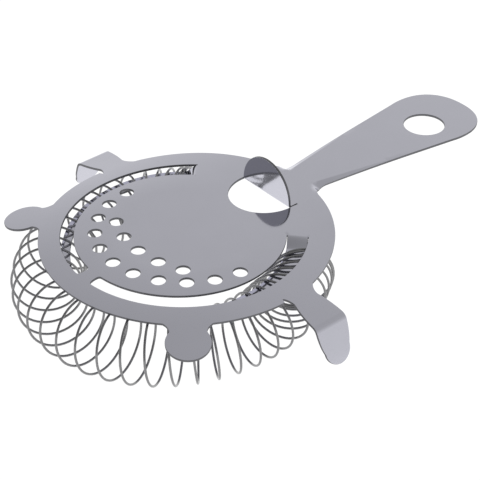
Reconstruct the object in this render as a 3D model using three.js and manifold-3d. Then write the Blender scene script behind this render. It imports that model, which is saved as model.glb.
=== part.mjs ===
// Hawthorne strainer: one stamped steel plate with its handle, and one coil spring threaded on it.
// Millimetres. Origin at the disc's centre on the underside of the plate, +X towards the handle,
// +Z up. The plate's left side is +Y.
import * as THREE from "three";
import { TessellateModifier } from "three/addons/modifiers/TessellateModifier.js";
import { mergeVertices } from "three/addons/utils/BufferGeometryUtils.js";
import Module from "manifold-3d";

const wasm = await Module();
wasm.setup();

// Driving dimensions
const SHEET = 0.8; // thickness of the stamped sheet
const DISC_RADIUS = 45; // half of the 90 mm disc
const WIRE = 0.75; // spring wire diameter

// The disc is flat inside FLAT_RADIUS and bends down from there to its rim, most at the sides.
const FLAT_RADIUS = 22;
const RIM_DROP = { depth: 2.35, from: 15, to: 98 }; // angles from the handle, in degrees

// Handle
const NECK_ROOT = { x: 43.6, y: 11 };
const NECK_X = 50.5;
const NECK_HALF_WIDTH = 7.55;
const HANDLE_END = { x: 104.4, radius: 15, blunt: 2.3 }; // a superellipse, a little blunter than round
const HANDLE_FLARE_X = 102.4;
const HANDLE_FLARE_HALF_WIDTH = 14.87;
const HANG_HOLE = { x: 99.5, y: -1.9, radius: 6.8 };
// The long edges beside the neck are pressed down outside a crease, and level out along the handle
const CREASE = { startX: 46.4, startY: 5.2, endX: 84, depth: 0.95, fullX: 49 };

// Round ears, which sit on the rim of the glass
const EAR = { angle: 128, headRadius: 6.6, headAt: 51.3, neckHalfWidth: 5.4, flare: 1.6 };

// Prongs, which hook over the rim of the glass
const PRONG = { x: 6.4, neckHalfWidth: 4.4, halfWidth: 5.75, flare: 1.8, foldY: 57.7, lean: 66 };
const LEG = { length: 12.7, tipRadius: 4.6, shoulder: 5 };

// Raised finger tab, folded up out of the plate
const TAB = { x: 31.6, halfWidth: 11.2, height: 12.2, slit: 3.3, slitWidth: 0.4 };

// Arc slots on each side, each between two circles whose centres lie a little towards -X
const SLOT = { start: 46, end: 176, innerRadius: 32.2, innerShift: 2.4, outerRadius: 37.6, outerShift: 0.88 };
// Tongue that hangs in each slot and carries the spring; heights are of its underside
const TONGUE = { root: 44.5, rampEnd: 51, end: 157, atRoot: -0.35, atRamp: -3.55, atEnd: -8.4 };
const TONGUE_INSET = { inner: 1.0, outer: 0.4 }; // from the slot's sides
const TONGUE_TAPER = { width: 1, from: 84, to: 132 };

// Drain holes: an outer row about the disc's centre, an inner row about a point nearer the handle
const DRAIN_RADIUS = 2.2;
const DRAIN_ROWS = [
  { count: 11, radius: 27.7, centreX: 0, pitch: 17.2 },
  { count: 5, radius: 34.8, centreX: 16.4, pitch: 14 },
];

// Spring: a horseshoe of round turns, from one tongue's root round the front to the other's
const COIL = { radius: 10.6, openTurns: 22.8, steps: 14, sides: 5 };
// Turns counted from either end, and how far round from the handle each is: close, then opening out
const COIL_TURNS = [0, 2.3, 5.3, 8.3];
const COIL_PLACES = [52, 55.6, 71.4, 92.5];
// The end turns stand in planes turned towards the handle; further round they stand square
const TURN_PLANE = { end: 30, squareFrom: 90 };
const HORSESHOE = { sideRadius: 35.2, frontRadius: 44.1, from: 60, to: 172 };
const COIL_GAP = 0.45; // between the plate and the top of a turn

const STEEL = { color: 0xa3a3ad, metalness: 0.9, roughness: 0.32 };
const SPRING_STEEL = { color: 0x77777c, metalness: 0.9, roughness: 0.28 };

const rad = THREE.MathUtils.degToRad;

// How far the rim stands below the flat centre, at an angle from the handle
function rimDrop(angle) {
  const fromHandle = Math.abs(THREE.MathUtils.radToDeg(angle));
  return RIM_DROP.depth * THREE.MathUtils.smoothstep(fromHandle, RIM_DROP.from, RIM_DROP.to);
}

// Height of the bent disc over its flat centre: a parabola to the rim, straight on beyond it
function bend(x, y) {
  const r = Math.hypot(x, y);
  const span = DISC_RADIUS - FLAT_RADIUS;
  if (r <= FLAT_RADIUS) return 0;
  const share = r < DISC_RADIUS ? ((r - FLAT_RADIUS) / span) ** 2 : 1 + (2 * (r - DISC_RADIUS)) / span;
  return -rimDrop(Math.atan2(y, x)) * share;
}

function handleHalfWidth(x) {
  const slope = (HANDLE_FLARE_HALF_WIDTH - NECK_HALF_WIDTH) / (HANDLE_FLARE_X - NECK_X);
  return NECK_HALF_WIDTH + slope * (x - NECK_X);
}

function toManifold(geometry) {
  const bare = geometry.clone();
  bare.deleteAttribute("normal");
  bare.deleteAttribute("uv");
  const merged = mergeVertices(bare, 1e-4);
  return new wasm.Manifold(
    new wasm.Mesh({
      numProp: 3,
      vertProperties: new Float32Array(merged.attributes.position.array),
      triVerts: new Uint32Array(merged.index.array),
    }),
  );
}

function toGeometry(solid) {
  const mesh = solid.getMesh();
  const geometry = new THREE.BufferGeometry();
  geometry.setAttribute("position", new THREE.BufferAttribute(new Float32Array(mesh.vertProperties), 3));
  geometry.setIndex(new THREE.BufferAttribute(new Uint32Array(mesh.triVerts), 1));
  return geometry;
}

// A flat outline made into sheet, its underside at height z
function sheet(shape, z = 0, depth = SHEET, curveSegments = 16) {
  const geometry = new THREE.ExtrudeGeometry(shape, { depth, bevelEnabled: false, curveSegments });
  return geometry.translate(0, 0, z);
}

// Sheet between two edge lines given along its underside, left and right of the way it runs
function strip(left, right) {
  const lift = (point) => point.clone().setZ(point.z + SHEET);
  const corners = left.flatMap((point, n) => [point, right[n], lift(right[n]), lift(point)]);
  const last = corners.length - 4;
  const faces = [0, 1, 2, 0, 2, 3, last, last + 2, last + 1, last, last + 3, last + 2];
  for (let ring = 0; ring < last; ring += 4) {
    for (let side = 0; side < 4; side += 1) {
      const [a, b] = [ring + side, ring + ((side + 1) % 4)];
      faces.push(a, a + 4, b + 4, a, b + 4, b);
    }
  }
  return new THREE.BufferGeometry().setFromPoints(corners).setIndex(faces);
}

function evenly(from, to, count) {
  return Array.from({ length: count }, (_, n) => from + ((to - from) * n) / (count - 1));
}

function circle(x, y, radius) {
  return new THREE.Shape().absarc(x, y, radius, 0, 2 * Math.PI, false);
}

// Half width of the crease between the handle's flat middle and its pressed-down edge
function creaseY(x) {
  const end = handleHalfWidth(CREASE.endX);
  return THREE.MathUtils.mapLinear(x, CREASE.startX, CREASE.endX, CREASE.startY, end);
}

// Flat part of the handle, inside the creases beside the neck
function handleShape() {
  const { startX, startY, endX } = CREASE;
  const { x, radius, blunt } = HANDLE_END;
  const root = DISC_RADIUS - 4;
  const power = 2 / blunt;
  const end = evenly(-Math.PI / 2, Math.PI / 2, 31).map(
    (angle) => new THREE.Vector2(
      x + radius * Math.cos(angle) ** power,
      radius * Math.sign(angle) * Math.abs(Math.sin(angle)) ** power,
    ),
  );
  const shape = new THREE.Shape();
  shape.moveTo(root, -NECK_ROOT.y);
  shape.lineTo(NECK_ROOT.x, -NECK_ROOT.y);
  shape.quadraticCurveTo(startX - 1, -startY - 2, startX, -startY);
  shape.lineTo(endX, -creaseY(endX));
  shape.lineTo(HANDLE_FLARE_X, -HANDLE_FLARE_HALF_WIDTH);
  for (const point of end) {
    shape.lineTo(point.x, point.y);
  }
  shape.lineTo(HANDLE_FLARE_X, HANDLE_FLARE_HALF_WIDTH);
  shape.lineTo(endX, creaseY(endX));
  shape.lineTo(startX, startY);
  shape.quadraticCurveTo(startX - 1, startY + 2, NECK_ROOT.x, NECK_ROOT.y);
  shape.lineTo(root, NECK_ROOT.y);
  return shape;
}

// Pressed-down edge between the crease and the handle's outline
function pressedEdge(side) {
  const { startX, endX, depth, fullX } = CREASE;
  const overlap = 0.2;
  const full = handleHalfWidth(startX) - creaseY(startX);
  const stations = evenly(startX, endX, 7);
  const inner = stations.map((x) => new THREE.Vector3(x, side * (creaseY(x) - overlap), 0));
  const outer = stations.map((x) => {
    const fade = THREE.MathUtils.clamp((endX - x) / (endX - fullX), 0, 1);
    const share = (handleHalfWidth(x) - creaseY(x)) / full;
    return new THREE.Vector3(x, side * handleHalfWidth(x), -depth * fade * share);
  });
  return side > 0 ? strip(outer, inner) : strip(inner, outer);
}

// Outline of an ear along +X: a flared neck and a round head
function earShape() {
  const { headRadius, headAt, neckHalfWidth, flare } = EAR;
  const shoulder = Math.sqrt(headRadius ** 2 - neckHalfWidth ** 2);
  const turn = Math.atan2(neckHalfWidth, -shoulder);
  const root = DISC_RADIUS - 3;
  const rim = DISC_RADIUS - 0.8;
  const shape = new THREE.Shape();
  shape.moveTo(root, -neckHalfWidth - flare);
  shape.lineTo(rim, -neckHalfWidth - flare);
  shape.quadraticCurveTo(rim + flare, -neckHalfWidth, headAt - shoulder, -neckHalfWidth);
  shape.absarc(headAt, 0, headRadius, -turn, turn, false);
  shape.quadraticCurveTo(rim + flare, neckHalfWidth, rim, neckHalfWidth + flare);
  shape.lineTo(root, neckHalfWidth + flare);
  return shape;
}

// Outline of a prong's upper part along +X, from the disc to the fold
function prongShape() {
  const { neckHalfWidth, halfWidth, flare, foldY } = PRONG;
  const root = DISC_RADIUS - 3;
  const rim = DISC_RADIUS - 0.8;
  const neck = rim + 2.4;
  const full = foldY - 3.5;
  const shape = new THREE.Shape();
  shape.moveTo(root, -neckHalfWidth - flare);
  shape.lineTo(rim, -neckHalfWidth - flare);
  shape.quadraticCurveTo(rim + flare / 2, -neckHalfWidth, neck, -neckHalfWidth);
  shape.quadraticCurveTo(full - 1, -halfWidth, foldY, -halfWidth);
  shape.lineTo(foldY, halfWidth);
  shape.quadraticCurveTo(full - 1, halfWidth, neck, neckHalfWidth);
  shape.quadraticCurveTo(rim + flare / 2, neckHalfWidth, rim, neckHalfWidth + flare);
  shape.lineTo(root, neckHalfWidth + flare);
  return shape;
}

// Outline of a prong's leg along +X, from the fold to its round tip
function legShape() {
  const { length, tipRadius, shoulder } = LEG;
  const tip = length - tipRadius;
  const shape = new THREE.Shape();
  shape.moveTo(0, -PRONG.halfWidth);
  shape.quadraticCurveTo(shoulder, -PRONG.halfWidth, tip, -tipRadius);
  shape.absarc(tip, 0, tipRadius, -Math.PI / 2, Math.PI / 2, false);
  shape.quadraticCurveTo(shoulder, PRONG.halfWidth, 0, PRONG.halfWidth);
  return shape;
}

// Distance from the disc's centre to a circle whose centre is shifted towards -X
function shiftedRadius(radius, shift, angle) {
  return -shift * Math.cos(angle) + Math.sqrt(radius ** 2 - (shift * Math.sin(angle)) ** 2);
}

function slotInner(angle) {
  return shiftedRadius(SLOT.innerRadius, SLOT.innerShift, angle);
}

function slotOuter(angle) {
  return shiftedRadius(SLOT.outerRadius, SLOT.outerShift, angle);
}

function slotShape(side) {
  const angles = evenly(SLOT.start, SLOT.end, 32).map((degrees) => side * rad(degrees));
  const at = (angle, radius) => new THREE.Vector2(radius * Math.cos(angle), radius * Math.sin(angle));
  const outer = angles.map((angle) => at(angle, slotOuter(angle)));
  const inner = angles.map((angle) => at(angle, slotInner(angle)));
  return new THREE.Shape([...outer, ...inner.reverse()]);
}

// Underside of the tongue: in line with the plate at its root, then a ramp, then a sag towards its end
function tongueHeight(degrees) {
  if (degrees < TONGUE.rampEnd) {
    return THREE.MathUtils.mapLinear(degrees, TONGUE.root, TONGUE.rampEnd, TONGUE.atRoot, TONGUE.atRamp);
  }
  const share = (degrees - TONGUE.rampEnd) / (TONGUE.end - TONGUE.rampEnd);
  return THREE.MathUtils.lerp(TONGUE.atRamp, TONGUE.atEnd, share ** 2);
}

// Tongue in one slot, narrowing on its inner side towards the front
function tongue(side) {
  const { root, rampEnd, end } = TONGUE;
  const stations = [root, ...evenly(rampEnd, end, 30)];
  const at = (degrees, radius) => {
    const angle = side * rad(degrees);
    return new THREE.Vector3(radius * Math.cos(angle), radius * Math.sin(angle), tongueHeight(degrees));
  };
  const inner = stations.map((degrees) => {
    const share = THREE.MathUtils.smoothstep(degrees, TONGUE_TAPER.from, TONGUE_TAPER.to);
    return at(degrees, slotInner(rad(degrees)) + TONGUE_INSET.inner + TONGUE_TAPER.width * share);
  });
  const outer = stations.map((degrees) => at(degrees, slotOuter(rad(degrees)) - TONGUE_INSET.outer));
  return side > 0 ? strip(inner, outer) : strip(outer, inner);
}

// The disc, cut flat and then bent
function bentDisc() {
  const through = 4;
  let blank = toManifold(sheet(circle(0, 0, DISC_RADIUS), 0, SHEET, 60));
  const cut = (shape, segments = 12) => {
    blank = blank.subtract(toManifold(sheet(shape, -through / 2, through, segments)));
  };
  for (const side of [1, -1]) {
    cut(slotShape(side));
    cut(slitShape(side));
  }
  for (const { count, radius, centreX, pitch } of DRAIN_ROWS) {
    for (let n = 0; n < count; n += 1) {
      const angle = rad(180 + pitch * (n - (count - 1) / 2));
      cut(circle(centreX + radius * Math.cos(angle), radius * Math.sin(angle), DRAIN_RADIUS), 6);
    }
  }
  const window = new THREE.Shape();
  window.absellipse(TAB.x, 0, TAB.height, TAB.halfWidth, Math.PI / 2, (3 * Math.PI) / 2, false);
  cut(window, 24);

  const longest = 9;
  const rounds = 8;
  const fine = new TessellateModifier(longest, rounds).modify(toGeometry(blank));
  const position = fine.attributes.position;
  for (let n = 0; n < position.count; n += 1) {
    const [x, y] = [position.getX(n), position.getY(n)];
    position.setZ(n, position.getZ(n) + bend(x, y));
  }
  return toManifold(fine);
}

// Relief slit at one end of the finger tab's fold
function slitShape(side) {
  const [x, y] = [TAB.x - 0.2, side * (TAB.halfWidth + 0.1)];
  const [dx, dy] = [TAB.slit, side * 0.9];
  const half = TAB.slitWidth / 2;
  return new THREE.Shape([
    new THREE.Vector2(x, y - half),
    new THREE.Vector2(x + dx, y + dy - half),
    new THREE.Vector2(x + dx, y + dy + half),
    new THREE.Vector2(x, y + half),
  ]);
}

// Semi-ellipse of sheet that stands up from the fold, its front face at TAB.x
function fingerTab() {
  const outline = new THREE.Shape();
  outline.absellipse(0, 0, TAB.halfWidth - 0.2, TAB.height, 0, Math.PI, false);
  const geometry = sheet(outline, 0, SHEET, 24);
  geometry.rotateX(Math.PI / 2);
  geometry.rotateZ(Math.PI / 2);
  return geometry.translate(TAB.x, 0, SHEET / 2);
}

// A lobe drawn along +X, tilted down by the disc's own slope at the rim and turned to its angle
function tilted(shape, angle, x = 0) {
  const slope = (2 * rimDrop(angle)) / (DISC_RADIUS - FLAT_RADIUS);
  const geometry = sheet(shape).translate(-DISC_RADIUS, 0, 0);
  geometry.rotateY(Math.atan(slope));
  geometry.translate(DISC_RADIUS, 0, -rimDrop(angle));
  if (x === 0) return geometry.rotateZ(angle);
  return geometry.rotateZ(Math.sign(angle) * (Math.PI / 2)).translate(x, 0, 0);
}

function prongLeg(side) {
  const angle = Math.atan2(PRONG.foldY, PRONG.x);
  const slope = (2 * rimDrop(angle)) / (DISC_RADIUS - FLAT_RADIUS);
  const foldZ = -rimDrop(angle) - slope * (PRONG.foldY - DISC_RADIUS);
  const geometry = sheet(legShape(), -SHEET);
  geometry.rotateY(rad(PRONG.lean));
  geometry.rotateZ(side * (Math.PI / 2));
  return geometry.translate(PRONG.x, side * PRONG.foldY, SHEET + foldZ);
}

function handle() {
  const outline = handleShape();
  outline.holes.push(circle(HANG_HOLE.x, HANG_HOLE.y, HANG_HOLE.radius));
  return sheet(outline);
}

function strainerPlate() {
  let plate = bentDisc();
  const pieces = [handle(), pressedEdge(1), pressedEdge(-1), fingerTab()];
  for (const side of [1, -1]) {
    const prongAngle = side * Math.atan2(PRONG.foldY, PRONG.x);
    pieces.push(tongue(side), tilted(earShape(), side * rad(EAR.angle)));
    pieces.push(tilted(prongShape(), prongAngle, PRONG.x), prongLeg(side));
  }
  for (const piece of pieces) {
    plate = plate.add(toManifold(piece));
  }
  return toGeometry(plate);
}

// Value at x of the line through the points given by two lists
function along(x, xs, ys) {
  const next = xs.findIndex((value, n) => n > 0 && x <= value);
  const n = next < 0 ? xs.length - 1 : next;
  return THREE.MathUtils.mapLinear(x, xs[n - 1], xs[n], ys[n - 1], ys[n]);
}

const TURNS = 2 * COIL_TURNS.at(-1) + COIL.openTurns;

// Path of the spring wire: round turns that hang under the plate along the horseshoe
class CoilPath extends THREE.Curve {
  getPoint(t, target = new THREE.Vector3()) {
    const turn = t * TURNS;
    const counts = [...COIL_TURNS, ...COIL_TURNS.map((count) => TURNS - count).reverse()];
    const places = [...COIL_PLACES, ...COIL_PLACES.map((place) => 360 - place).reverse()];
    const degrees = along(turn, counts, places);
    const side = degrees > 180 ? -1 : 1;
    const fromHandle = Math.min(degrees, 360 - degrees);
    const swell = THREE.MathUtils.smoothstep(fromHandle, HORSESHOE.from, HORSESHOE.to);
    const radius = THREE.MathUtils.lerp(HORSESHOE.sideRadius, HORSESHOE.frontRadius, swell);
    const square = THREE.MathUtils.smoothstep(fromHandle, COIL_PLACES[1], TURN_PLANE.squareFrom);
    const plane = side * rad(THREE.MathUtils.lerp(TURN_PLANE.end, fromHandle, square));
    const x = radius * Math.cos(rad(fromHandle));
    const y = side * radius * Math.sin(rad(fromHandle));
    const top = bend(x, y) - WIRE / 2 - COIL_GAP;
    const round = 2 * Math.PI * turn + Math.PI;
    const out = COIL.radius * Math.sin(round);
    const z = top - COIL.radius + COIL.radius * Math.cos(round);
    return target.set(x + out * Math.cos(plane), y + out * Math.sin(plane), z);
  }
}

function coilSpring() {
  const section = new THREE.Shape(
    Array.from({ length: COIL.sides }, (_, n) => {
      const angle = (2 * Math.PI * n) / COIL.sides;
      return new THREE.Vector2((WIRE / 2) * Math.cos(angle), (WIRE / 2) * Math.sin(angle));
    }),
  );
  return new THREE.ExtrudeGeometry(section, {
    steps: Math.round(TURNS * COIL.steps),
    extrudePath: new CoilPath(),
    bevelEnabled: false,
  });
}

function part(name, geometry, finish) {
  const mesh = new THREE.Mesh(geometry, new THREE.MeshStandardMaterial(finish));
  mesh.name = name;
  return mesh;
}

const group = new THREE.Group();
group.add(part("strainer_plate", strainerPlate(), STEEL));
group.add(part("coil_spring", coilSpring(), SPRING_STEEL));

export default group;
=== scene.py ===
"""Looks of a hawthorne strainer: its stamped plate and its coil spring, on a pale floor."""

import math

import bpy
import numpy as np
from mathutils import Matrix, Vector
from mathutils.geometry import delaunay_2d_cdt


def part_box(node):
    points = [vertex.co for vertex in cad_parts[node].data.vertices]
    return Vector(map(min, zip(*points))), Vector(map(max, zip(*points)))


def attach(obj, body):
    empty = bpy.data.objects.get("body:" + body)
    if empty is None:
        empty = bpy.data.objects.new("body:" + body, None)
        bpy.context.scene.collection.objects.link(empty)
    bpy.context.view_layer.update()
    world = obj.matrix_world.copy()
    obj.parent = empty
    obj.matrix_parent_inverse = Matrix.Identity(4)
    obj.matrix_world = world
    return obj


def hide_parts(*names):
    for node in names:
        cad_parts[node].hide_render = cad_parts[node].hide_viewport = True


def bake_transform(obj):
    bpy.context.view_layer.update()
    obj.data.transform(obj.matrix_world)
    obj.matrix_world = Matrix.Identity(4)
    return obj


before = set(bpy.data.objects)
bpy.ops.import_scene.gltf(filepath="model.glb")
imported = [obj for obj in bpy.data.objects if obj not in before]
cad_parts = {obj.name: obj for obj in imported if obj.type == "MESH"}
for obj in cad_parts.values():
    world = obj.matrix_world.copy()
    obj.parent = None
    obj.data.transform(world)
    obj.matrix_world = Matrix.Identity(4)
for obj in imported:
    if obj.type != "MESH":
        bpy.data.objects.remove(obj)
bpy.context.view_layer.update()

MM = 0.001
FLOOR_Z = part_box("coil_spring")[0][2]

# Sizes in millimetres, angles in degrees from the handle's line
SHEET = 0.8
EDGE_ROUND = 0.16
DISC_RADIUS = 45
FLAT_RADIUS = 22
RIM_DROP, DROP_FROM, DROP_TO = 2.35, 15, 98

HANDLE_END_X, HANDLE_END_RADIUS, HANDLE_END_BLUNT = 104.4, 15, 2.3
FLARE_X, FLARE_HALF_WIDTH = 102.4, 14.87
NECK_X, NECK_HALF_WIDTH = 50.5, 7.55
NECK_ROOT_Y = 11
HANG_HOLE_X, HANG_HOLE_Y, HANG_HOLE_RADIUS = 99.5, -1.9, 6.8
PRESS_FROM, PRESS_FULL, PRESS_TO = 43.5, 47, 86
PRESS_WIDTH, PRESS_DEPTH = 2.0, 0.95

EAR_ANGLE, EAR_HEAD_AT, EAR_HEAD_RADIUS, EAR_NECK, EAR_FLARE = 128, 51.3, 6.6, 5.4, 1.8

PRONG_X, PRONG_NECK, PRONG_HALF_WIDTH, PRONG_FLARE = 6.4, 4.4, 5.75, 1.8
PRONG_FOLD_Y, PRONG_LEAN, PRONG_BEND_RADIUS = 57.7, 66, 2.4
LEG_LENGTH, LEG_TIP_RADIUS, LEG_SHOULDER = 12.7, 4.6, 5

TAB_X, TAB_HALF_WIDTH, TAB_HEIGHT, TAB_BEND_RADIUS = 31.6, 11.2, 12.2, 0.8
TAB_GAP, SLIT_LENGTH = 0.3, 3.3

SLOT_FROM, SLOT_TO, SLOT_CORNER = 46, 176, 1.0
SLOT_INNER_RADIUS, SLOT_INNER_SHIFT = 32.2, 2.4
SLOT_OUTER_RADIUS, SLOT_OUTER_SHIFT = 37.6, 0.88
TONGUE_RAMP_TO, TONGUE_TO, TONGUE_GAP = 52.5, 157, 0.12
TONGUE_AT_RAMP, TONGUE_AT_END = -2.5, -7.3
TONGUE_TAPER, TAPER_FROM, TAPER_TO = 1.2, 60, 125

DRAIN_RADIUS = 2.2
DRAIN_ROWS = ((11, 27.7, 0, 17.2), (5, 34.8, 16.4, 14))  # count, radius, centre x, pitch

WIRE = 0.75
COIL_RADIUS, COIL_GAP = 10.6, 0.4
# Turns counted from either end, and how far round from the handle each is: close, then opening out
COIL_TURNS, COIL_PLACES = (0, 2.3, 5.3, 8.3), (52, 55.6, 71.4, 92.5)
OPEN_TURNS = 22.8
END_TURN_PLANE, SQUARE_FROM = 30, 90
HORSESHOE_SIDE, HORSESHOE_FRONT, SWELL_FROM, SWELL_TO = 35.2, 44.1, 60, 172

STEP = 0.5  # spacing of points along the plate's outlines
GRID = 1.25  # spacing of points inside them
EDGE_CLEARANCE = 0.28  # no inside point is nearer than this to an outline
ROW_CLEARANCE = 0.7  # nor any point of the grid to a row across a bend
TAU = 2 * math.pi

WORLD_BRIGHT_SIDE = 10  # azimuth in degrees
WORLD_DARK_SIDE = 0.52  # how light the far side is beside it
WORLD_LEVELS = ((0.0, 0.94), (0.45, 0.71), (0.6, 0.63), (0.8, 0.6), (1.0, 0.55))  # sine of elevation, level
FLOOR_GLOW = 0.98  # how much the floor shines by itself
FLOOR_REACH = 3.0  # metres


def smoothstep(value, low, high):
    share = np.clip((value - low) / (high - low), 0, 1)
    return share * share * (3 - 2 * share)


# ---- Camera ----

CAMERA_AZIMUTH, CAMERA_ELEVATION, CAMERA_ROLL = 229.8, 34.51, 0.46
CAMERA_DISTANCE, CAMERA_LENS = 514.83, 127.5
CAMERA_AIM = (11.09, -11.95, -2.04)


def add_camera():
    az, el, roll = (math.radians(a) for a in (CAMERA_AZIMUTH, CAMERA_ELEVATION, CAMERA_ROLL))
    back = Vector((math.cos(az) * math.cos(el), math.sin(az) * math.cos(el), math.sin(el)))
    level = Vector((-math.sin(az), math.cos(az), 0))
    right = math.cos(roll) * level + math.sin(roll) * back.cross(level)
    up = back.cross(right)
    camera = bpy.data.objects.new("camera", bpy.data.cameras.new("camera"))
    camera.data.lens = CAMERA_LENS
    camera.data.sensor_width = 36
    place = (Vector(CAMERA_AIM) + CAMERA_DISTANCE * back) * MM
    turn = Matrix((right, up, back)).transposed().to_4x4()
    camera.matrix_world = Matrix.Translation(place) @ turn
    camera.data.clip_start = 0.01
    bpy.context.collection.objects.link(camera)
    bpy.context.scene.camera = camera


# ---- Outlines of the flat blank, as arrays of points ----


def line(start, end):
    count = max(1, round(math.dist(start, end) / STEP))
    share = np.linspace(0, 1, count + 1)[:, None]
    return np.array(start) * (1 - share) + np.array(end) * share


def arc(centre, radius, start, end, exponent=2.0):
    """Circular arc, or part of a blunter superellipse; angles in radians."""
    count = max(6, round(abs(end - start) * radius / STEP))
    angle = np.linspace(start, end, count + 1)
    cos, sin = np.cos(angle), np.sin(angle)
    power = 2 / exponent
    return np.array(centre) + radius * np.stack(
        (np.sign(cos) * np.abs(cos) ** power, np.sign(sin) * np.abs(sin) ** power), 1)


def curve(start, control, end):
    length = (math.dist(start, control) + math.dist(control, end) + math.dist(start, end)) / 2
    t = np.linspace(0, 1, max(3, round(length / STEP)) + 1)[:, None]
    return (1 - t) ** 2 * np.array(start) + 2 * t * (1 - t) * np.array(control) + t**2 * np.array(end)


def joined(*pieces):
    """The pieces end to end, without the points that two of them share."""
    points = np.vstack(pieces)
    keep = np.hypot(*(points - np.roll(points, 1, axis=0)).T) > STEP * 0.12
    return points[keep]


def turned(points, angle):
    cos, sin = math.cos(angle), math.sin(angle)
    return points @ np.array(((cos, sin), (-sin, cos)))


def mirrored(points):
    """The same outline on the other side of the handle's line, running the same way round."""
    return (points * (1, -1))[::-1]


def handle_half_width(x):
    return NECK_HALF_WIDTH + (x - NECK_X) * (FLARE_HALF_WIDTH - NECK_HALF_WIDTH) / (FLARE_X - NECK_X)


def on_rim(y):
    return math.sqrt(DISC_RADIUS**2 - y * y)


def ear():
    """An ear along +X, from one side of its root to the other."""
    root = EAR_NECK + EAR_FLARE
    shoulder = math.sqrt(EAR_HEAD_RADIUS**2 - EAR_NECK**2)
    wide = math.atan2(EAR_NECK, -shoulder)
    neck_x = EAR_HEAD_AT - shoulder
    return np.vstack((
        curve((on_rim(root), -root), (DISC_RADIUS + 0.9, -EAR_NECK), (neck_x, -EAR_NECK)),
        arc((EAR_HEAD_AT, 0), EAR_HEAD_RADIUS, -wide, wide),
        curve((neck_x, EAR_NECK), (DISC_RADIUS + 0.9, EAR_NECK), (on_rim(root), root)),
    ))


def prong_bend_start():
    return PRONG_FOLD_Y - PRONG_BEND_RADIUS * math.tan((math.radians(PRONG_LEAN) - prong_slope()) / 2)


def prong_slope():
    """How steeply the disc's rim runs down where a prong leaves it."""
    fold = math.hypot(PRONG_X, PRONG_FOLD_Y)
    return math.atan(2 * rim_drop(math.atan2(PRONG_FOLD_Y, PRONG_X)) / (DISC_RADIUS - FLAT_RADIUS)
                     * PRONG_FOLD_Y / fold)


def prong_side():
    """One side of a prong laid flat, from its root to its tip; x is across it, y outwards."""
    bend = PRONG_BEND_RADIUS * (math.radians(PRONG_LEAN) - prong_slope())
    cut_back = PRONG_FOLD_Y - prong_bend_start()
    fold = prong_bend_start() + bend / 2
    tip_y = prong_bend_start() + bend + LEG_LENGTH - cut_back - LEG_TIP_RADIUS
    root = PRONG_NECK + PRONG_FLARE
    return np.vstack((
        curve((root, on_rim(PRONG_X + root)), (PRONG_NECK, DISC_RADIUS), (PRONG_NECK, DISC_RADIUS + 2.2)),
        curve((PRONG_NECK, DISC_RADIUS + 2.2), (PRONG_HALF_WIDTH, fold - 5.5), (PRONG_HALF_WIDTH, fold)),
        curve((PRONG_HALF_WIDTH, fold), (PRONG_HALF_WIDTH, fold + LEG_SHOULDER), (LEG_TIP_RADIUS, tip_y)),
        arc((0, tip_y), LEG_TIP_RADIUS, 0, math.pi / 2),
    ))


def prong():
    near = prong_side()
    far = (near * (-1, 1))[::-1]
    points = np.vstack((near, far)) + (PRONG_X, 0)
    points[-1] = (points[-1][0], on_rim(points[-1][0]))
    return points


def outline():
    """Edge of the whole blank, anticlockwise, its left half first."""
    end = arc((HANDLE_END_X, 0), HANDLE_END_RADIUS, 0, math.pi / 2, HANDLE_END_BLUNT)
    start_x = HANDLE_END_X - 4
    neck = (NECK_X, NECK_HALF_WIDTH)
    root = (on_rim(NECK_ROOT_Y), NECK_ROOT_Y)
    ear_points = turned(ear(), math.radians(EAR_ANGLE))
    prong_points = prong()

    def rim(start, end):
        return arc((0, 0), DISC_RADIUS, math.atan2(start[1], start[0]), math.atan2(end[1], end[0]))

    left = np.vstack((
        end,
        curve(end[-1], (HANDLE_END_X - 2, HANDLE_END_RADIUS), (start_x, handle_half_width(start_x))),
        line((start_x, handle_half_width(start_x)), neck),
        curve(neck, (NECK_X - 4.9, NECK_HALF_WIDTH - 0.5), root),
        rim(root, prong_points[0]),
        prong_points,
        rim(prong_points[-1], ear_points[0]),
        ear_points,
        rim(ear_points[-1], (-DISC_RADIUS, 1e-9)),
    ))
    return joined(left, mirrored(left))


def slot_edge(degrees, radius, shift):
    """Points on a circle whose centre lies shift towards -X, at angles about the disc's centre."""
    angle = np.radians(degrees)
    reach = -shift * np.cos(angle) + np.sqrt(radius**2 - (shift * np.sin(angle)) ** 2)
    return reach, angle


def polar(reach, angle):
    return np.stack((reach * np.cos(angle), reach * np.sin(angle)), -1)


def slot_inner(degrees, inwards=0.0):
    reach, angle = slot_edge(degrees, SLOT_INNER_RADIUS, SLOT_INNER_SHIFT)
    return polar(reach + inwards, angle)


def slot_outer(degrees, inwards=0.0):
    reach, angle = slot_edge(degrees, SLOT_OUTER_RADIUS, SLOT_OUTER_SHIFT)
    return polar(reach - inwards, angle)


def tongue_taper(degrees):
    return TONGUE_GAP + TONGUE_TAPER * smoothstep(degrees, TAPER_FROM, TAPER_TO)


def along(start, end):
    """Angles a step apart from start to end, in degrees."""
    count = round(math.radians(abs(end - start)) * SLOT_OUTER_RADIUS / STEP)
    return np.linspace(start, end, count + 1)


def rounded_end(first, second, corner_first, corner_second):
    """Two rounded corners and the straight line between them."""
    near_first = 0.6 * corner_first + 0.4 * corner_second
    near_second = 0.4 * corner_first + 0.6 * corner_second
    return np.vstack((curve(first, corner_first, near_first), curve(near_second, corner_second, second)))


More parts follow.
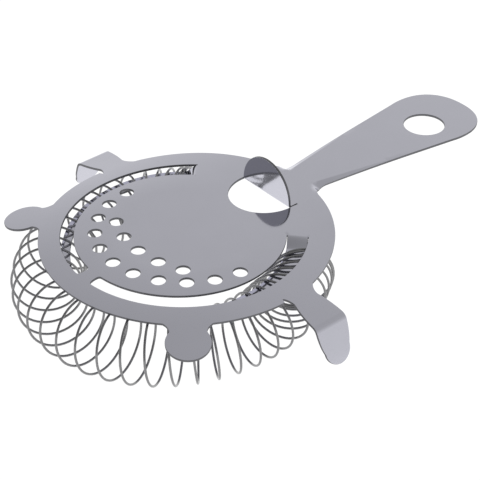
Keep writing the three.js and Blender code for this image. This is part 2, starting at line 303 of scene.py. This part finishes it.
def slot_around_tongue():
    """Edge of the left slot, out round its far end and back round the tongue that hangs in it."""
    corner = math.degrees(SLOT_CORNER / SLOT_OUTER_RADIUS)
    out = along(SLOT_FROM, SLOT_TO - corner)
    tongue = along(SLOT_FROM, TONGUE_TO - corner)
    slot_end = rounded_end(
        slot_outer(SLOT_TO - corner), slot_inner(SLOT_TO - corner), slot_outer(SLOT_TO), slot_inner(SLOT_TO))
    tongue_end = rounded_end(
        slot_inner(TONGUE_TO - corner, tongue_taper(TONGUE_TO)),
        slot_outer(TONGUE_TO - corner, TONGUE_GAP),
        slot_inner(TONGUE_TO, tongue_taper(TONGUE_TO)),
        slot_outer(TONGUE_TO, TONGUE_GAP))
    return joined(
        slot_outer(out),
        slot_end,
        slot_inner(out[::-1]),
        slot_inner(tongue, tongue_taper(tongue)),
        tongue_end,
        slot_outer(tongue[::-1], TONGUE_GAP),
    )


def tab_flat_length():
    """From the start of the tab's bend to its top, along the sheet."""
    rise = TAB_HEIGHT + SHEET / 2 - (SHEET / 2 + TAB_BEND_RADIUS)
    return math.pi / 2 * TAB_BEND_RADIUS + rise


def tab_bend_x():
    """Where the sheet starts to turn up into the tab."""
    return TAB_X + SHEET / 2 + TAB_BEND_RADIUS


def window_around_tab():
    """Edge of the window that the finger tab leaves, with a slit at each end of its fold."""
    slit_end = TAB_X + SLIT_LENGTH
    half = TAB_HALF_WIDTH
    tab_half = half - TAB_GAP
    angle = np.linspace(math.pi / 2, 3 * math.pi / 2, round(math.pi * half / STEP))
    window = np.stack((TAB_X + TAB_HEIGHT * np.cos(angle), half * np.sin(angle)), 1)
    length = tab_flat_length() - (tab_bend_x() - TAB_X)
    tab = np.stack((TAB_X + length * np.cos(angle), tab_half * np.sin(angle)), 1)
    return joined(
        line((slit_end, half + 0.15), (TAB_X, half)),
        window,
        line((TAB_X, -half), (slit_end, -half - 0.15)),
        line((slit_end, -tab_half), (TAB_X, -tab_half)),
        tab[::-1],
        line((TAB_X, tab_half), (slit_end, tab_half)),
    )


def circle(x, y, radius):
    return arc((x, y), radius, 0, TAU)[:-1]


def drain_holes():
    holes = []
    for count, radius, centre_x, pitch in DRAIN_ROWS:
        for n in range(count):
            angle = math.radians(180 + pitch * (n - (count - 1) / 2))
            x, y = centre_x + radius * math.cos(angle), radius * math.sin(angle)
            holes.append(circle(x, y, DRAIN_RADIUS))
    return holes


# ---- Shape of the bent sheet: where each point of the flat blank ends up ----


def rim_drop(angle):
    """How far the rim stands below the flat middle of the disc."""
    return RIM_DROP * smoothstep(np.degrees(np.abs(angle)), DROP_FROM, DROP_TO)


def dished(x, y):
    """Height of the disc: flat, then a parabola down to the rim, and straight on beyond it."""
    r = np.hypot(x, y)
    share = (r - FLAT_RADIUS) / (DISC_RADIUS - FLAT_RADIUS)
    fall = np.where(share < 1, np.clip(share, 0, 1) ** 2, 2 * share - 1)
    return -rim_drop(np.arctan2(y, x)) * fall


def pressed(x, y):
    """How far the handle's long edges are pressed down beside the neck."""
    fade = smoothstep(x, PRESS_FROM, PRESS_FULL) * np.clip((PRESS_TO - x) / (PRESS_TO - PRESS_FULL), 0, 1)
    half = np.maximum(handle_half_width(np.maximum(x, NECK_X - 3)), 0.1)
    width = PRESS_WIDTH * np.maximum(fade, 0.05)
    across = np.clip((np.abs(y) - half + width) / width, 0, 1.5)
    return np.where(x > PRESS_FROM, -PRESS_DEPTH * fade**2 * across, 0)


def tongue_share(points, index):
    """1 on the tongues, easing in over their roots, and 0 elsewhere."""
    degrees = np.degrees(np.abs(np.arctan2(points[:, 1], points[:, 0])))
    return np.where(index == TONGUE, smoothstep(degrees, SLOT_FROM - 0.6, TONGUE_RAMP_TO), 0)


MAIN, TAB, TONGUE = 0, 1, 2


def middle_surface(points, index):
    """Middle of the sheet, for points of the flat blank and which part of it each is on."""
    x, y = points[:, 0].copy(), points[:, 1].copy()
    start = prong_bend_start()
    on_leg = (np.abs(y) > start) & (np.abs(x - PRONG_X) < 3 * PRONG_HALF_WIDTH)
    flat_y = np.where(on_leg, np.sign(y) * start, y)
    z = dished(x, flat_y) + pressed(x, flat_y) + SHEET / 2

    degrees = np.degrees(np.abs(np.arctan2(y, x)))
    along_tongue = np.clip((degrees - TONGUE_RAMP_TO) / (TONGUE_TO - TONGUE_RAMP_TO), 0, 1)
    hung = TONGUE_AT_RAMP + (TONGUE_AT_END - TONGUE_AT_RAMP) * along_tongue**2
    share = tongue_share(points, index)
    z = z * (1 - share) + hung * share

    slope, lean = prong_slope(), math.radians(PRONG_LEAN)
    past = np.maximum(np.abs(y) - start, 0)
    bend = PRONG_BEND_RADIUS * (lean - slope)
    turn = slope + np.minimum(past, bend) / PRONG_BEND_RADIUS
    beyond = np.maximum(past - bend, 0)
    leg_y = start + PRONG_BEND_RADIUS * (np.sin(turn) - math.sin(slope)) + beyond * math.cos(lean)
    leg_z = PRONG_BEND_RADIUS * (np.cos(turn) - math.cos(slope)) - beyond * math.sin(lean)
    y = np.where(on_leg, np.sign(y) * leg_y, y)
    z = np.where(on_leg, z + leg_z, z)

    along_tab = np.where(index == TAB, np.maximum(tab_bend_x() - x, 0), 0)
    quarter = math.pi / 2 * TAB_BEND_RADIUS
    turn = np.minimum(along_tab, quarter) / TAB_BEND_RADIUS
    beyond = np.maximum(along_tab - quarter, 0)
    on_tab = along_tab > 0
    x = np.where(on_tab, tab_bend_x() - TAB_BEND_RADIUS * np.sin(turn), x)
    z = np.where(on_tab, z + TAB_BEND_RADIUS * (1 - np.cos(turn)) + beyond, z)
    return np.stack((x, y, z), 1)


def surface_normals(points, index):
    small = 0.02
    across = [middle_surface(points + step, index) - middle_surface(points - np.array(step), index)
              for step in ((small, 0), (0, small))]
    normals = np.cross(*across)
    return normals / np.linalg.norm(normals, axis=1)[:, None]


# ---- Mesh of the sheet ----


def signed_area(loop):
    x, y = loop.T
    return 0.5 * np.sum(x * np.roll(y, -1) - y * np.roll(x, -1))


def outward(loop):
    """Directions away from the metal, for a loop that keeps the metal on its left."""
    way = np.roll(loop, -1, axis=0) - np.roll(loop, 1, axis=0)
    way /= np.maximum(np.linalg.norm(way, axis=1), 1e-9)[:, None]
    return np.stack((way[:, 1], -way[:, 0]), 1)


def inside(points, loops):
    """Which points lie in an odd number of loops."""
    odd = np.zeros(len(points), bool)
    for loop in loops:
        after = np.roll(loop, -1, axis=0)
        for (x1, y1), (x2, y2) in zip(loop, after):
            if y1 == y2:
                continue
            spans = (y1 > points[:, 1]) != (y2 > points[:, 1])
            odd ^= spans & (points[:, 0] < (x2 - x1) * (points[:, 1] - y1) / (y2 - y1) + x1)
    return odd


def near_loops(points, loops, distance):
    cell = distance * 1.01
    taken = set()
    for x, y in np.vstack(loops):
        cx, cy = math.floor(x / cell), math.floor(y / cell)
        taken.update((cx + i, cy + j) for i in (-1, 0, 1) for j in (-1, 0, 1))
    return np.array([(math.floor(x / cell), math.floor(y / cell)) in taken for x, y in points])


def row(start, end):
    count = max(2, round(math.dist(start, end) / (GRID * 0.7)))
    share = np.linspace(0.02, 0.98, count)[:, None]
    return np.array(start) * (1 - share) + np.array(end) * share


def bend_rows():
    """Rows of points across each bend, so that the mesh turns in even steps."""
    rows = []
    for n in range(7):
        x = tab_bend_x() - n / 6 * math.pi / 2 * TAB_BEND_RADIUS
        rows.append(row((x, -TAB_HALF_WIDTH + TAB_GAP + 0.3), (x, TAB_HALF_WIDTH - TAB_GAP - 0.3)))
    bend = PRONG_BEND_RADIUS * (math.radians(PRONG_LEAN) - prong_slope())
    for side in (1, -1):
        for n in range(8):
            y = side * (prong_bend_start() + n / 7 * bend)
            rows.append(row((PRONG_X - PRONG_HALF_WIDTH + 0.4, y), (PRONG_X + PRONG_HALF_WIDTH - 0.4, y)))
        for degrees in np.linspace(SLOT_FROM - 0.6, TONGUE_RAMP_TO, 9):
            inner, outer = slot_inner(degrees, 0.8), slot_outer(degrees, 0.8)
            rows.append(row(inner * (1, side), outer * (1, side)))
        for share in (1.05, 0.92, 0.6, 0.3):
            edge = []
            for x in (PRESS_FULL + 0.5, PRESS_TO - 3):
                width = PRESS_WIDTH * (PRESS_TO - x) / (PRESS_TO - PRESS_FULL)
                edge.append((x, side * (handle_half_width(x) - share * width)))
            rows.append(row(*edge))
    return rows


def grid_points(loops):
    """A triangular grid of points inside the blank, clear of its edges and of the bends' rows."""
    rows = bend_rows()
    lowest, highest = loops[0].min(0), loops[0].max(0)
    grid = []
    for n, y in enumerate(np.arange(lowest[1], highest[1], GRID * math.sqrt(3) / 2)):
        x = np.arange(lowest[0] + (n % 2) * GRID / 2, highest[0], GRID)
        grid.append(np.stack((x, np.full(len(x), y)), 1))
    points = np.vstack(grid)
    points = points[~near_loops(points, rows, ROW_CLEARANCE)]
    points = np.vstack((points, *rows))
    points = points[~near_loops(points, loops, EDGE_CLEARANCE)]
    return points[inside(points, loops)]


def which_part(points):
    """Main sheet, tab or tongue, for points of the flat blank."""
    index = np.full(len(points), MAIN)
    x, y = points.T
    reach = tab_flat_length() - (tab_bend_x() - TAB_X)
    half = TAB_HALF_WIDTH - TAB_GAP / 2
    in_tab = (x < tab_bend_x()) & (np.abs(y) < half)
    in_tab &= (x > TAB_X) | (((x - TAB_X) / (reach + 0.2)) ** 2 + (y / half) ** 2 < 1)
    index[in_tab] = TAB
    degrees = np.degrees(np.abs(np.arctan2(y, x)))
    r = np.hypot(x, y)
    inner, _ = slot_edge(degrees, SLOT_INNER_RADIUS, SLOT_INNER_SHIFT)
    outer, _ = slot_edge(degrees, SLOT_OUTER_RADIUS, SLOT_OUTER_SHIFT)
    taper = tongue_taper(degrees)
    in_tongue = (r > inner + taper - 0.06) & (r < outer - TONGUE_GAP / 2)
    in_tongue &= (degrees > SLOT_FROM - 0.6) & (degrees < TONGUE_TO + 1)
    index[in_tongue] = TONGUE
    return index


def flat_mesh(loops):
    """Points and triangles of the flat blank, and where each loop's points went."""
    points = np.vstack((*loops, grid_points(loops)))
    edges, start = [], 0
    for loop in loops:
        ids = start + np.arange(len(loop))
        edges += list(zip(ids.tolist(), np.roll(ids, -1).tolist()))
        start += len(loop)
    found = delaunay_2d_cdt([Vector(p) for p in points.tolist()], edges, [], 0, 1e-6)
    flat = np.array([tuple(v) for v in found[0]])
    triangles = np.array(found[2])
    triangles = triangles[inside(flat[triangles].mean(axis=1), loops)]
    place = {source: n for n, sources in enumerate(found[3]) for source in sources}
    start, loop_ids = 0, []
    for loop in loops:
        loop_ids.append(np.array([place[start + n] for n in range(len(loop))]))
        start += len(loop)
    return flat, triangles, loop_ids


def plate_mesh():
    """The blank with its holes, bent to shape, with thickness and rounded edges."""
    slot = slot_around_tongue()
    holes = [slot, mirrored(slot), window_around_tab(), circle(HANG_HOLE_X, HANG_HOLE_Y, HANG_HOLE_RADIUS)]
    holes += drain_holes()
    loops = [outline()] + [hole if signed_area(hole) < 0 else hole[::-1] for hole in holes]
    loops = [loop - EDGE_ROUND * outward(loop) for loop in loops]

    flat, triangles, loop_ids = flat_mesh(loops)
    index = which_part(flat)
    middle = middle_surface(flat, index)
    normal = surface_normals(flat, index)

    half = SHEET / 2
    count = len(flat)
    vertices = [middle + half * normal, middle - half * normal]
    normals = [normal, -normal]
    faces = triangles.tolist() + (triangles[:, ::-1] + count).tolist()
    kinds = [0] * len(faces)
    total = 2 * count
    angles = np.radians((30, 60, 90))
    for ids in loop_ids:
        way = middle[np.roll(ids, -1)] - middle[np.roll(ids, 1)]
        out = np.cross(way, normal[ids])
        out /= np.linalg.norm(out, axis=1)[:, None]
        rings = [ids]
        for side in (1, -1):
            for angle in angles if side > 0 else angles[::-1]:
                facing = side * math.cos(angle) * normal[ids] + math.sin(angle) * out
                vertices.append(middle[ids] + side * (half - EDGE_ROUND) * normal[ids] + EDGE_ROUND * facing)
                normals.append(facing)
                rings.append(total + np.arange(len(ids)))
                total += len(ids)
        rings.append(ids + count)
        for n, (near, far) in enumerate(zip(rings, rings[1:])):
            faces += np.stack((near, far, np.roll(far, -1), np.roll(near, -1)), 1).tolist()
            # Every band round a cut edge except the two next to the top and underside takes the second
            # material, which is painted shade.
            kinds += [int(1 <= n <= 5)] * len(ids)
    return np.vstack(vertices), faces, np.vstack(normals), kinds


def add_piece(name, vertices, faces, normals, *materials, kinds=None):
    """A smooth mesh with its normals given; kinds says which material each face takes."""
    mesh = bpy.data.meshes.new(name)
    mesh.from_pydata((vertices * MM).tolist(), [], faces)
    mesh.polygons.foreach_set("use_smooth", [True] * len(mesh.polygons))
    if kinds is not None:
        mesh.polygons.foreach_set("material_index", kinds)
    mesh.normals_split_custom_set_from_vertices(normals.tolist())
    for material in materials:
        mesh.materials.append(material)
    piece = bpy.data.objects.new(name, mesh)
    bpy.context.collection.objects.link(piece)
    return piece


# ---- Spring ----


def horseshoe_radius(degrees):
    swell = smoothstep(degrees, SWELL_FROM, SWELL_TO)
    return HORSESHOE_SIDE + (HORSESHOE_FRONT - HORSESHOE_SIDE) * swell


def wire_path():
    """Middle of the wire: upright turns, close together at both ends and open round the front."""
    turns = 2 * COIL_TURNS[-1] + OPEN_TURNS
    turn = np.linspace(0, turns, round(turns * 48) + 1)
    counts = (*COIL_TURNS, *(turns - count for count in COIL_TURNS[::-1]))
    places = (*COIL_PLACES, *(360 - place for place in COIL_PLACES[::-1]))
    degrees = np.interp(turn, counts, places)
    from_handle = np.minimum(degrees, 360 - degrees)
    radius = horseshoe_radius(from_handle)
    angle = np.radians(degrees)
    signed = np.arctan2(np.sin(angle), np.cos(angle))
    square = smoothstep(from_handle, COIL_PLACES[1], SQUARE_FROM)
    plane = np.radians(END_TURN_PLANE + (from_handle - END_TURN_PLANE) * square) * np.sign(signed)
    top = dished(radius * np.cos(signed), radius * np.sin(signed)) - WIRE / 2 - COIL_GAP
    centre = np.stack((radius * np.cos(angle), radius * np.sin(angle), top - COIL_RADIUS), 1)
    round_turn = TAU * turn + math.pi
    out = np.stack((np.cos(plane), np.sin(plane), 0 * plane), 1) * np.sin(round_turn)[:, None]
    up = np.array((0, 0, 1)) * np.cos(round_turn)[:, None]
    return centre + COIL_RADIUS * (out + up), centre


def spring_mesh():
    path, centre = wire_path()
    sides = 10
    way = np.gradient(path, axis=0)
    way /= np.linalg.norm(way, axis=1)[:, None]
    out = path - centre
    out -= (out * way).sum(1)[:, None] * way
    out /= np.linalg.norm(out, axis=1)[:, None]
    across = np.cross(way, out)
    angle = np.arange(sides) * TAU / sides
    facing = out[:, None] * np.cos(angle)[None, :, None] + across[:, None] * np.sin(angle)[None, :, None]
    rings = path[:, None] + WIRE / 2 * facing
    count = len(path)
    ids = np.arange(count * sides).reshape(count, sides)
    after = np.roll(ids, -1, axis=1)
    faces = np.stack((ids[:-1], after[:-1], after[1:], ids[1:]), 2).reshape(-1, 4).tolist()
    faces += [ids[0][::-1].tolist(), ids[-1].tolist()]
    return rings.reshape(-1, 3), faces, facing.reshape(-1, 3)


# ---- Materials ----


def steel(name, colour, roughness, grain_scale, grain_depth):
    """Stainless steel: faint rolling grain along the sheet, and soft patches of wear."""
    material = bpy.data.materials.new(name)
    material.use_nodes = True
    nodes, links = material.node_tree.nodes, material.node_tree.links
    shader = nodes["Principled BSDF"]
    shader.inputs["Metallic"].default_value = 1.0
    place = nodes.new("ShaderNodeTexCoord")
    patches = nodes.new("ShaderNodeTexNoise")
    patches.inputs["Scale"].default_value = 90
    patches.inputs["Detail"].default_value = 5
    links.new(place.outputs["Object"], patches.inputs["Vector"])
    tint = nodes.new("ShaderNodeValToRGB")
    tint.color_ramp.elements[0].color = (*(0.97 * c for c in colour), 1)
    tint.color_ramp.elements[1].color = (*(1.02 * c for c in colour), 1)
    links.new(patches.outputs["Fac"], tint.inputs["Fac"])
    links.new(tint.outputs["Color"], shader.inputs["Base Color"])
    rough = nodes.new("ShaderNodeMapRange")
    rough.inputs["From Min"].default_value = 0.3
    rough.inputs["From Max"].default_value = 0.7
    rough.inputs["To Min"].default_value = roughness * 0.88
    rough.inputs["To Max"].default_value = roughness * 1.12
    links.new(patches.outputs["Fac"], rough.inputs["Value"])
    links.new(rough.outputs["Result"], shader.inputs["Roughness"])
    stretch = nodes.new("ShaderNodeMapping")
    stretch.inputs["Scale"].default_value = (grain_scale / 30, grain_scale, grain_scale)
    links.new(place.outputs["Object"], stretch.inputs["Vector"])
    grain = nodes.new("ShaderNodeTexNoise")
    grain.inputs["Scale"].default_value = 1.0
    grain.inputs["Detail"].default_value = 3
    links.new(stretch.outputs["Vector"], grain.inputs["Vector"])
    bump = nodes.new("ShaderNodeBump")
    bump.inputs["Strength"].default_value = grain_depth
    bump.inputs["Distance"].default_value = 0.00002
    links.new(grain.outputs["Fac"], bump.inputs["Height"])
    links.new(bump.outputs["Normal"], shader.inputs["Normal"])
    return material


def plain(name, colour, roughness):
    material = bpy.data.materials.new(name)
    material.use_nodes = True
    shader = material.node_tree.nodes["Principled BSDF"]
    shader.inputs["Base Color"].default_value = (*colour, 1)
    shader.inputs["Roughness"].default_value = roughness
    return material


# ---- Floor and surroundings ----


def add_floor():
    """A white light table, so that no shadow shows under the object."""
    paper = plain("floor_paper", (0.15, 0.15, 0.15), 0.9)
    shader = paper.node_tree.nodes["Principled BSDF"]
    shader.inputs["Emission Color"].default_value = (1, 1, 1, 1)
    shader.inputs["Emission Strength"].default_value = FLOOR_GLOW
    mesh = bpy.data.meshes.new("floor")
    signs = ((-1, -1), (1, -1), (1, 1), (-1, 1))
    corners = [(FLOOR_REACH * x, FLOOR_REACH * y, FLOOR_Z) for x, y in signs]
    mesh.from_pydata(corners, [], [(0, 1, 2, 3)])
    mesh.materials.append(paper)
    floor = bpy.data.objects.new("floor", mesh)
    bpy.context.collection.objects.link(floor)


def add_world():
    """A grey studio, lightest low down and towards WORLD_BRIGHT_SIDE."""
    world = bpy.data.worlds.new("studio")
    world.use_nodes = True
    nodes, links = world.node_tree.nodes, world.node_tree.links
    place = nodes.new("ShaderNodeTexCoord")
    parts = nodes.new("ShaderNodeSeparateXYZ")
    links.new(place.outputs["Generated"], parts.inputs["Vector"])
    height = nodes.new("ShaderNodeValToRGB")
    stops = height.color_ramp.elements
    for at, _ in WORLD_LEVELS[1:-1]:
        stops.new(at)
    for stop, (_, level) in zip(stops, WORLD_LEVELS):
        stop.color = (level, level, level, 1)
    links.new(parts.outputs["Z"], height.inputs["Fac"])
    side = nodes.new("ShaderNodeVectorMath")
    side.operation = "DOT_PRODUCT"
    angle = math.radians(WORLD_BRIGHT_SIDE)
    side.inputs[1].default_value = (math.cos(angle), math.sin(angle), 0)
    links.new(place.outputs["Generated"], side.inputs[0])
    share = nodes.new("ShaderNodeMapRange")
    share.inputs["From Min"].default_value = -0.7
    share.inputs["From Max"].default_value = 0.7
    share.inputs["To Min"].default_value = WORLD_DARK_SIDE
    share.inputs["To Max"].default_value = 1.0
    share.clamp = False
    links.new(side.outputs["Value"], share.inputs["Value"])
    background = nodes["Background"]
    links.new(height.outputs["Color"], background.inputs["Color"])
    links.new(share.outputs["Result"], background.inputs["Strength"])
    bpy.context.scene.world = world


add_camera()
add_floor()
add_world()
bpy.context.scene.view_settings.view_transform = "Standard"

*plate_parts, plate_kinds = plate_mesh()
plate_steel = steel("plate_steel", (0.58, 0.58, 0.645), 0.07, 9000, 0.05)
# The cut edges are rougher, as sheared steel is, and painted dark: painted shade where the rounded edges
# would mirror the bright floor.
cut_edge_painted_shade = steel("plate_steel_cut_edge", (0.16, 0.16, 0.17), 0.45, 9000, 0.5)
plate = add_piece("plate_sheet", *plate_parts, plate_steel, cut_edge_painted_shade, kinds=plate_kinds)
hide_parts("strainer_plate")
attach(plate, "plate")

# The spring's steel is much darker than the plate's: painted shade for the wire that sits under the plate.
spring = add_piece("spring_wire", *spring_mesh(), steel("spring_steel", (0.24, 0.24, 0.245), 0.15, 9000, 0.2))
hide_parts("coil_spring")
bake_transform(spring)
